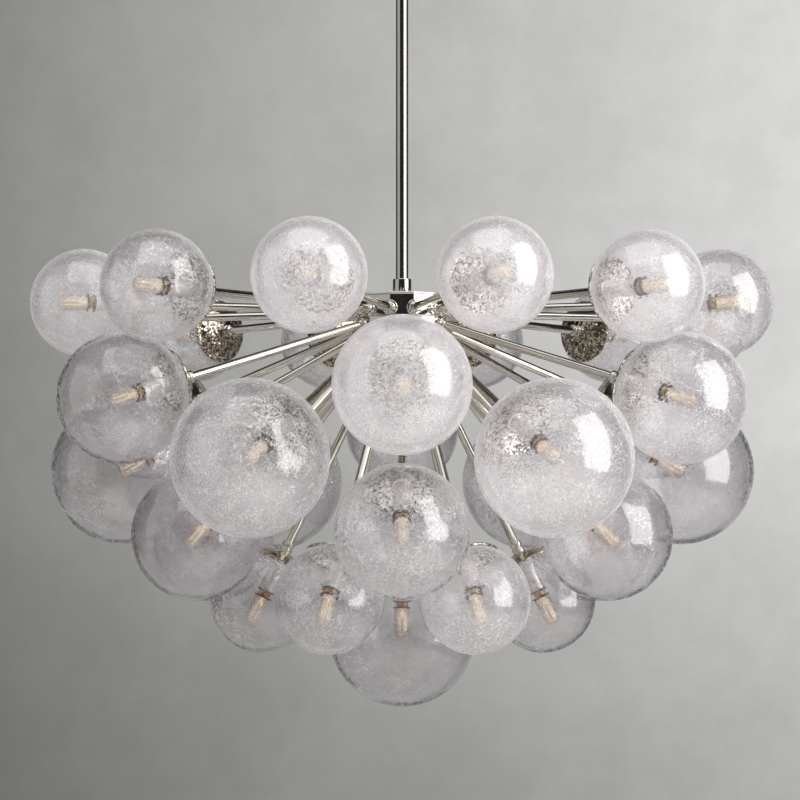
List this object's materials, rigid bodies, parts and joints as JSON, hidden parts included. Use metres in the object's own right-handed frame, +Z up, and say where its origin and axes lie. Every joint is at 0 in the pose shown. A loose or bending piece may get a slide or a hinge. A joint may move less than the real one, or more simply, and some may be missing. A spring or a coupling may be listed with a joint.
{
  "type": "chandelier",
  "caption": "Half-sphere cluster of crackled glass globe lights on straight metal arms round one hub, hung from a round canopy on a rigid stem.",
  "frame": {"origin": "middle of the ceiling plate's upper face, which lies against the ceiling", "axes": "+Z up, towards the ceiling; the picture looks along +Y, with +X to its right"},
  "size_m": [1.0356, 1.0542, 1.1445],
  "materials": {
    "polished_nickel": "polished",
    "crackled_glass": "blown, crackled and seeded",
    "bulb_glass": "clear",
    "brass": "plain",
    "zinc_plated_steel": "zinc plated",
    "connector_plastic": "moulded",
    "cable_sheath": "smooth"
  },
  "bodies": {
    "ceiling_mount": {"ceiling_plate": "zinc_plated_steel", "ground_screw": "zinc_plated_steel", "canopy": "polished_nickel", "canopy_nipple": "zinc_plated_steel", "nipple_lock_nut": "zinc_plated_steel", "canopy_ring": "polished_nickel", "wire_connector": "connector_plastic"},
    "swivel": {"swivel_fork": "polished_nickel", "pivot_screw": "polished_nickel", "pivot_nut": "polished_nickel"},
    "pendant": {"swivel_tongue": "polished_nickel", "stem": "polished_nickel", "stem_collar": "polished_nickel", "stem_cable": "cable_sheath", "hub_lid": "polished_nickel", "hub_upper_ring": "polished_nickel", "hub_middle_ring": "polished_nickel", "hub_lower_bowl": "polished_nickel", "hub_tie_rod": "zinc_plated_steel", "bottom_arm": "polished_nickel", "bottom_lampholder": "polished_nickel", "bottom_bulb_cap": "brass", "bottom_bulb": "bulb_glass", "globe_tier1_01": "crackled_glass", "globe_tier1_02": "crackled_glass", "globe_tier1_03": "crackled_glass", "globe_tier1_04": "crackled_glass", "globe_tier1_05": "crackled_glass", "globe_tier1_06": "crackled_glass", "globe_tier1_07": "crackled_glass", "globe_tier1_08": "crackled_glass", "globe_tier1_09": "crackled_glass", "globe_tier1_10": "crackled_glass", "globe_tier1_11": "crackled_glass", "globe_tier1_12": "crackled_glass", "globe_tier2_01": "crackled_glass", "globe_tier2_02": "crackled_glass", "globe_tier2_03": "crackled_glass", "globe_tier2_04": "crackled_glass", "globe_tier2_05": "crackled_glass", "globe_tier2_06": "crackled_glass", "globe_tier3_01": "crackled_glass", "globe_tier3_02": "crackled_glass", "globe_tier3_03": "crackled_glass", "globe_tier3_04": "crackled_glass", "globe_tier3_05": "crackled_glass", "globe_tier3_06": "crackled_glass", "globe_tier4_01": "crackled_glass", "globe_tier4_02": "crackled_glass", "globe_tier4_03": "crackled_glass", "globe_tier4_04": "crackled_glass", "globe_tier4_05": "crackled_glass", "globe_tier4_06": "crackled_glass", "globe_tier5_01": "crackled_glass", "globe_tier5_02": "crackled_glass", "globe_tier5_03": "crackled_glass", "globe_tier5_04": "crackled_glass", "globe_tier5_05": "crackled_glass", "globe_tier5_06": "crackled_glass", "globe_bottom": "crackled_glass"}
  },
  "joints": [
    {"name": "swivel_turn", "type": "hinge", "parent": "ceiling_mount", "child": "swivel", "pos_m": [0, 0, -0.0409], "axis": [0, 0, 1], "range_deg": [-170, 170]},
    {"name": "swivel_tilt", "type": "hinge", "parent": "swivel", "child": "pendant", "pos_m": [0, 0, -0.0729], "axis": [0, 1, 0], "range_deg": [-30, 30]}
  ]
}
